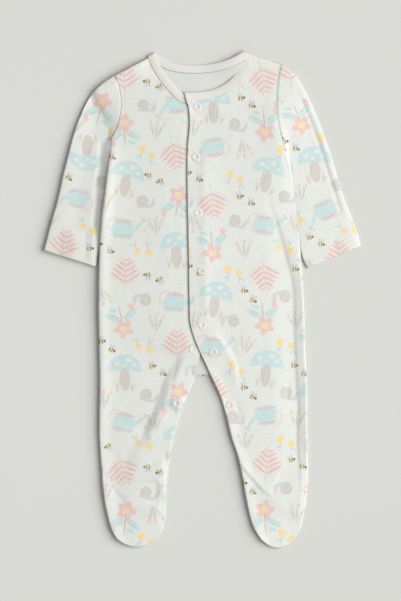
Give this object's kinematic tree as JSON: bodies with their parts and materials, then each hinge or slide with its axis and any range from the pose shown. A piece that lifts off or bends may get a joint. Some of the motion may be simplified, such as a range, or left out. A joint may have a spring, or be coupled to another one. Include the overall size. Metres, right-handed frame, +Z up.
{
  "type": "footed baby sleepsuit",
  "caption": "Long-sleeved, footed baby sleepsuit in printed cotton, lying flat on its back, with a bound round neck and ring poppers down the front and the inside legs.",
  "frame": {"origin": "on the table, below the middle of the garment's bounding box", "axes": "+X towards the wearer's left side, +Y from the toes to the neck, +Z up from the table out of the front"},
  "size_m": [0.3674, 0.5776, 0.0073],
  "materials": {
    "back_cloth": "matt cotton interlock, the print's pale wrong side inside",
    "front_right_cloth": "matt cotton interlock with a small garden print",
    "front_left_cloth": "matt cotton interlock with a small garden print",
    "sleeve_right_cloth": "matt cotton interlock with a small garden print",
    "sleeve_left_cloth": "matt cotton interlock with a small garden print",
    "binding_cloth": "matt cotton rib, cream",
    "popper_1_resin": "satin cream cap",
    "popper_2_resin": "satin cream cap",
    "popper_3_resin": "satin cream cap",
    "popper_4_resin": "satin cream cap",
    "popper_5_resin": "satin cream cap",
    "popper_6_resin": "satin cream cap",
    "popper_7_resin": "satin cream cap",
    "popper_8_resin": "satin cream cap",
    "popper_9_resin": "satin cream cap"
  },
  "bodies": {
    "root": {"back_panel": "back_cloth", "front_right": "front_right_cloth", "front_left": "front_left_cloth", "sleeve_right": "sleeve_right_cloth", "sleeve_left": "sleeve_left_cloth", "neck_binding": "binding_cloth", "popper_1": "popper_1_resin", "popper_2": "popper_2_resin", "popper_3": "popper_3_resin", "popper_4": "popper_4_resin", "popper_5": "popper_5_resin", "popper_6": "popper_6_resin", "popper_7": "popper_7_resin", "popper_8": "popper_8_resin", "popper_9": "popper_9_resin"}
  },
  "joints": []
}
